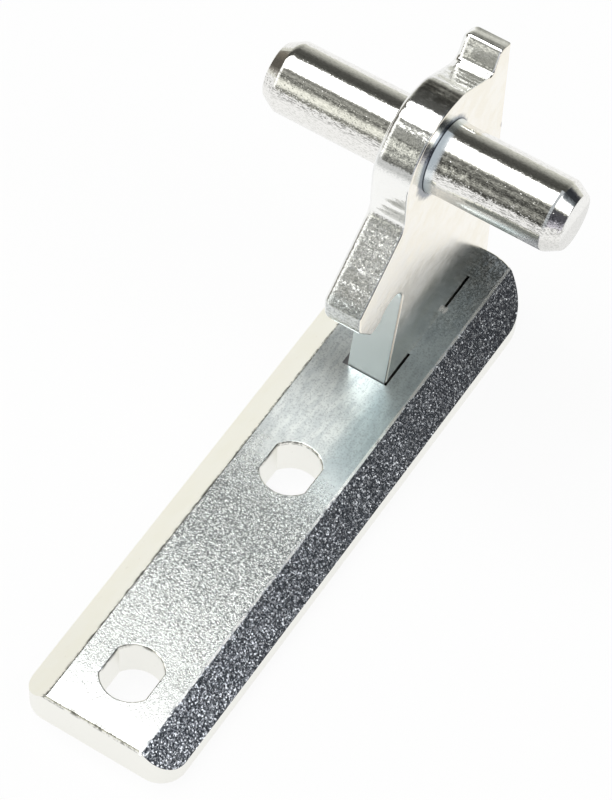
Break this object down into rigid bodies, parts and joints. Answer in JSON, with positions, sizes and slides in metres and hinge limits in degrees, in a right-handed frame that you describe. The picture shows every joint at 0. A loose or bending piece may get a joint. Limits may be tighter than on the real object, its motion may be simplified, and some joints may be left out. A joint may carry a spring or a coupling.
{
  "type": "fridge door hinge",
  "caption": "Middle hinge for a fridge-freezer: a chamfered screw-on bar carrying an upright stamped plate with a round cross pin for the doors to turn on.",
  "frame": {"origin": "on the bar's mounting face, midway between the two screw holes", "axes": "+Z out of the cabinet, from the mounting face towards the pin; +Y along the bar towards the plate; +X along the pin"},
  "size_m": [0.035, 0.0723, 0.0422],
  "materials": {
    "bar_zinc": "bright zinc plating over slightly grainy steel",
    "plate_zinc": "bright zinc plating, smooth faces and coarse sheared edges",
    "pin_zinc": "bright zinc plating over drawn round steel"
  },
  "bodies": {
    "root": {"mounting_bar": "bar_zinc", "hinge_plate": "plate_zinc", "hinge_pin": "pin_zinc"}
  },
  "joints": []
}
